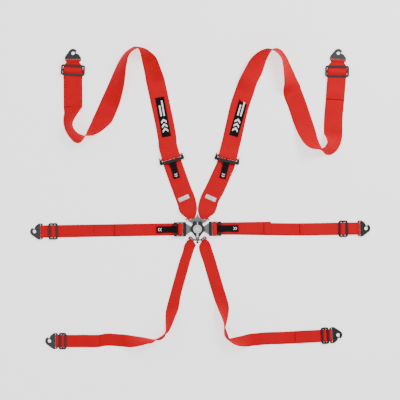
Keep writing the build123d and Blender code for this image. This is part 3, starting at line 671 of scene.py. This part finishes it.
def crotch_strap(side_name):
    name = "crotch_" + side_name
    sign = -1 if side_name == "left" else 1
    side = 1 if side_name == "left" else -1
    rows = from_rows(ROUTE_CL if side_name == "left" else ROUTE_CR, LAP)
    heading = 270 + sign * 38
    arm = (sign * 0.0255, -0.0421)
    loop = [
        (0.0036 * math.cos(math.radians(a)), 0.0096 + 0.0036 * math.sin(math.radians(a)), 0.0116)
        for a in (-40, -80, -120, -160, 160, 120, 80, 40)
    ]
    crown = [
        ((-33, -40), (-16, -50), 11.2), ((-45, -52), (-10, -58), 8.2), ((-54, -68), (-6, -67), 4.8),
    ] if side_name == "left" else [
        ((34, -40), (17, -50), 11.2), ((47, -52), (11, -58), 8.2), ((54, -66), (6, -68), 4.8),
    ]
    top = []
    for a, b, z in crown:
        a, b = Vector((a[0] / 1000, a[1] / 1000, z / 1000)), Vector((b[0] / 1000, b[1] / 1000, z / 1000))
        top.append(((a + b) / 2, (b - a).normalized(), (b - a).length))
    neck = from_path(arm, heading, [(0.016, 0.0046, 0.024), (0.008, 0.0070, 0.015)] + loop, side) + top
    lifted = [(rows[0][0] + Vector((0, 0, 0.0012)), rows[0][1], LAP)]
    lower, upper = end_pieces(name, LAP)
    whole = neck + lifted + rows[1:] + lower + upper
    obj = strap(
        "crotch_strap_" + side_name, "web_crotch_" + side_name, BODY[name],
        [(whole, 0.006, PLY)], RED_LAP, LAP, belly=0.005,
    )
    return obj


for side_name in ("left", "right"):
    shoulder_upper(side_name)
    shoulder_lower(side_name)
    lap_strap(side_name)
    crotch_strap(side_name)

# ---------------------------------------------------------------- web over the centre bar of each slide

for name, (origin, heading, slide_at, tail, side) in ENDS.items():
    width = SHOULDER if name.startswith("shoulder") else LAP
    reach = 0.0105 if not name.startswith("crotch") else 0.0075
    hump = [
        (-slide_at + reach * k / 6, 0.0083 + 0.0026 * math.cos(math.pi * k / 12) ** 2, width - 0.0008)
        for k in range(-6, 7)
    ]
    mat = RED if width > 0.06 else RED_LAP
    cover = web_mesh("web_over_bar_" + name, from_path(origin, heading, hump, side), 0.0008, mat, width)
    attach(cover, "slide_" + name)

# ---------------------------------------------------------------- seams at the ends of the tails

for name, (origin, heading, slide_at, tail, side) in ENDS.items():
    half = 0.033 if name.startswith("shoulder") else 0.021
    seam = stitches(
        "seam_tail_" + name, stitch_box(origin, heading, -tail + 0.003, -tail + 0.014, half, 0.0036), THREAD
    )
    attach(seam, BODY[name])

# ---------------------------------------------------------------- labels and tabs


def label(node, name, body, centre, heading, size, low, mat, marks):
    half_x, half_y = size[0] / 2, size[1] / 2
    stations = from_path(centre, heading, [(-half_x, low, size[1]), (half_x, low, size[1])], 1)
    obj = web_mesh(name, smooth(stations, 0.01), 0.0006, mat, size[1])
    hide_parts(node)
    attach(obj, body)
    pieces = []
    for i, (points, ink) in enumerate(marks):
        pieces.append(
            solid_mesh(name + "_mark%d" % i, points, low + 0.0002, low + 0.0005, ink, 0.0, centre, heading)
        )
    if pieces:
        mark = join(name + "_marks", pieces)
        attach(mark, body)
    lines = stitch_box(centre, heading, -half_x + 0.002, half_x - 0.002, half_y - 0.0018, low + 0.0003)
    thread = THREAD_DARK if mat != LABEL_WHITE else THREAD
    seam = stitches(name + "_seam", lines, thread, pitch=0.0036, long=0.0026, radius=0.0003)
    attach(seam, body)
    return obj


def chevron(x, wide, thick, lean):
    near = [(x, -wide), (x + lean, 0), (x, wide)]
    far = [(x + thick, wide), (x + thick + lean, 0), (x + thick, -wide)]
    return near + far


LONG_LABEL = (0.160, 0.036)
CARE_LABEL = (0.044, 0.016)
LONG_MARKS = [
    (chevron(-0.062, 0.011, 0.009, 0.010), PRINT_WHITE),
    (chevron(-0.044, 0.011, 0.009, 0.010), PRINT_WHITE),
    (chevron(-0.026, 0.011, 0.009, 0.010), PRINT_WHITE),
    ([(0.004, -0.009), (0.066, -0.009), (0.066, -0.003), (0.004, -0.003)], PRINT_WHITE),
    ([(0.004, 0.003), (0.048, 0.003), (0.048, 0.009), (0.004, 0.009)], PRINT_WHITE),
]
SMALL_MARKS = [([(-0.018, y), (x, y), (x, y + 0.0012), (-0.018, y + 0.0012)], PRINT_GREY)
               for y, x in ((-0.005, 0.016), (-0.0018, 0.010), (0.0014, 0.017), (0.0046, 0.004))]

label("shoulder_label_left", "label_shoulder_left", "shoulder_left",
      (-0.138, 0.448), 100.3, LONG_LABEL, 0.0022,
      LABEL_BLACK, LONG_MARKS)
label("shoulder_label_right", "label_shoulder_right", "shoulder_right",
      (0.1655, 0.449), 74.2, LONG_LABEL, 0.0022,
      LABEL_BLACK, LONG_MARKS)
label("care_label_left", "label_care_left", "shoulder_left", (-0.055, 0.123), 24.0, CARE_LABEL, 0.0039,
      LABEL_WHITE, SMALL_MARKS)
label("care_label_right", "label_care_right", "shoulder_right", (0.053, 0.124), -24.0, CARE_LABEL, 0.0039,
      LABEL_WHITE, SMALL_MARKS)


def pull_tab(node, name, body, origin, heading, bar_z, ring, wide, far, rest):
    loop = [
        (ring * math.cos(math.radians(a)), bar_z + ring * math.sin(math.radians(a)), wide)
        for a in (-30, -70, -110, -150, 170, 130, 90, 50)
    ]
    under = [(far, rest - 0.0006, wide), (0.013, rest - 0.0006, wide)]
    over = [(0.0135, rest + 0.0008, wide), (far, rest + 0.0008, wide)]
    path = under + loop + over
    stations = from_path(origin, heading, path, 1)
    obj = web_mesh(name, smooth(stations, 0.004), 0.0012, BLACK_WEB, wide)
    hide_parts(node)
    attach(obj, body)
    box = stitch_box(origin, heading, 0.017, far - 0.003, wide / 2 - 0.0025, rest + 0.0014)
    seam = stitches(name + "_seam", box, THREAD_DARK)
    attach(seam, body)
    marks = []
    for k in range(2):
        at = far - 0.020 + k * 0.008
        marks.append(solid_mesh(
            name + "_mark%d" % k, chevron(at, 0.006, 0.003, 0.004), rest + 0.0014, rest + 0.0016,
            PRINT_WHITE, 0.0, origin, heading,
        ))
    mark = join(name + "_marks", marks)
    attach(mark, body)


for side_name in ("left", "right"):
    (x, y), heading = ADJUSTERS[side_name]
    at = Vector((x, y, 0)) - heading_vec(heading) * 0.006
    node = "shoulder_tab_" + side_name
    pull_tab(node, "tab_shoulder_" + side_name, node, (at.x, at.y),
             heading + 180, 0.008, 0.0026, 0.025, 0.062, 0.0049)
    heading = LAP_HEADINGS[side_name]
    at = heading_vec(heading) * 0.085
    node = "lap_tab_" + side_name
    pull_tab(node, "tab_lap_" + side_name, node, (at.x, at.y),
             heading, 0.011, 0.0031, 0.026, 0.078, 0.0052)

# ---------------------------------------------------------------- finishes of the CAD nodes


def paint(node, mat):
    obj = bpy.data.objects[node]
    obj.data.materials.clear()
    obj.data.materials.append(mat)


PAINTS = {
    "back_plate": STEEL_BLACK, "buckle_housing": STEEL_BLACK, "strap_lug": BRIGHT, "lug_rivet": BRIGHT,
    "latch_spider": BRIGHT, "latch_spring": BRIGHT, "knob": KNOB, "pointer_strip": DISC, "knob_disc": DISC,
    "crotch_bracket": STEEL_BLACK, "crotch_tongue": BRIGHT, "crotch_keeper": STEEL_BLACK,
}
for side_name in ("left", "right"):
    # left hooks, slides and gates get the black steel painted lighter as a painted sheen of reflected light;
    # the right ones stay plain black
    steel = STEEL_BLACK_SHEEN if side_name == "left" else STEEL_BLACK
    PAINTS["shoulder_tongue_" + side_name] = BRIGHT
    PAINTS["lap_tongue_" + side_name] = BRIGHT
    PAINTS["shoulder_adjuster_" + side_name] = STEEL_BLACK
    PAINTS["shoulder_grip_bar_" + side_name] = STEEL_BLACK
    PAINTS["lap_adjuster_" + side_name] = STEEL_BLACK
    # the lap grip bars also take the lighter copy of the black steel with its painted sheen
    PAINTS["lap_grip_bar_" + side_name] = STEEL_BLACK_SHEEN
    for kind in ("shoulder_", "lap_", "crotch_"):
        PAINTS["hook_" + kind + side_name] = steel
        PAINTS["slide_" + kind + side_name] = steel
        PAINTS["gate_" + kind + side_name] = steel
for node, mat in PAINTS.items():
    paint(node, mat)

# plain ring on the disc
RING_IN = 0.0108
RING_OUT = 0.0124
RING_Z = 0.02775
RING_HIGH = 0.00025
RING_SIDES = 64
ring_mesh = bpy.data.meshes.new("disc_ring")
bm = bmesh.new()
inner, outer = ring_points(RING_IN, RING_SIDES), ring_points(RING_OUT, RING_SIDES)
low = [bm.verts.new((x, y, RING_Z)) for x, y in inner]
high = [bm.verts.new((x, y, RING_Z)) for x, y in outer]
lift_in = [bm.verts.new((x, y, RING_Z + RING_HIGH)) for x, y in inner]
lift_out = [bm.verts.new((x, y, RING_Z + RING_HIGH)) for x, y in outer]
for i in range(RING_SIDES):
    j = (i + 1) % RING_SIDES
    bm.faces.new((lift_in[i], lift_in[j], lift_out[j], lift_out[i]))
    bm.faces.new((low[i], lift_in[i], lift_in[j], low[j]))
    bm.faces.new((high[i], high[j], lift_out[j], lift_out[i]))
    bm.faces.new((low[i], low[j], high[j], high[i]))
bmesh.ops.recalc_face_normals(bm, faces=bm.faces)
bm.to_mesh(ring_mesh)
bm.free()
disc_ring = bpy.data.objects.new("disc_ring", ring_mesh)
scene.collection.objects.link(disc_ring)
ring_mesh.materials.append(EMBLEM)
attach(disc_ring, "knob")

save_bounds("scene", SIZES)
